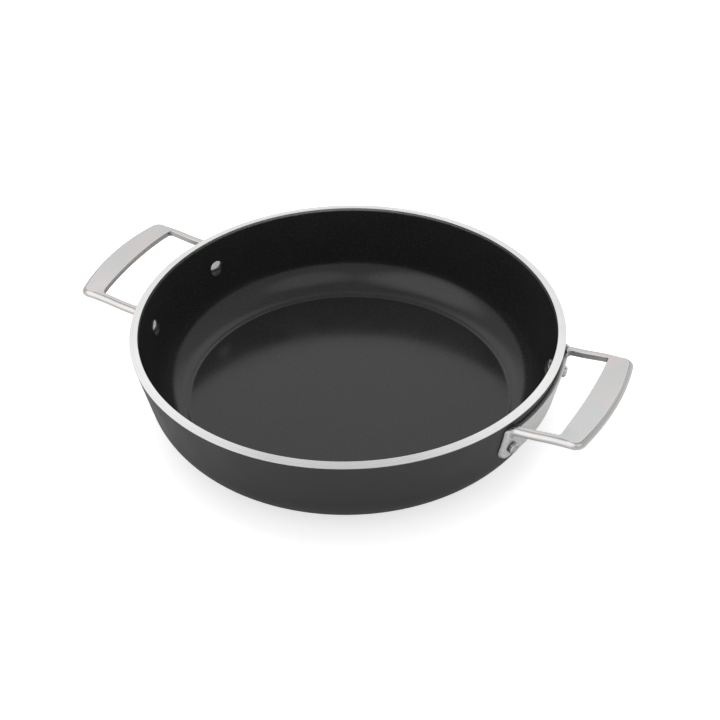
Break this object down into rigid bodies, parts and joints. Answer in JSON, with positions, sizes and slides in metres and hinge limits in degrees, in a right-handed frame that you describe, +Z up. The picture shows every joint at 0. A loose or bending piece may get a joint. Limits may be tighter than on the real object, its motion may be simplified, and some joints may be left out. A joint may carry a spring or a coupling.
{
  "type": "casserole pan",
  "caption": "Shallow round casserole pan with a dark non-stick inside, a bare bright rim and cast loop handles riveted at opposite sides, for cooking on a hob or in an oven.",
  "frame": {"origin": "centre of the base disc's underside, on the surface that the pan stands on", "axes": "+Z up towards the open mouth, +X through the right handle, +Y away from the viewer between the handles"},
  "size_m": [0.3804, 0.2908, 0.0659],
  "materials": {
    "bright_aluminium": "turned bright at the rim, bare",
    "nonstick_black": "semi-gloss non-stick coat with a fine speckle",
    "dark_coat": "satin dark grey hard coat",
    "base_steel": "turned in fine rings",
    "satin_steel": "satin, blasted on the mounting plate",
    "polished_steel": "polished"
  },
  "bodies": {
    "root": {"vessel_body": "bright_aluminium", "nonstick_lining": "nonstick_black", "outer_coating": "dark_coat", "induction_base_disc": "base_steel", "handle_right": "satin_steel", "handle_left": "satin_steel", "rivet_right_front": "polished_steel", "rivet_right_rear": "polished_steel", "rivet_left_front": "polished_steel", "rivet_left_rear": "polished_steel"}
  },
  "joints": []
}
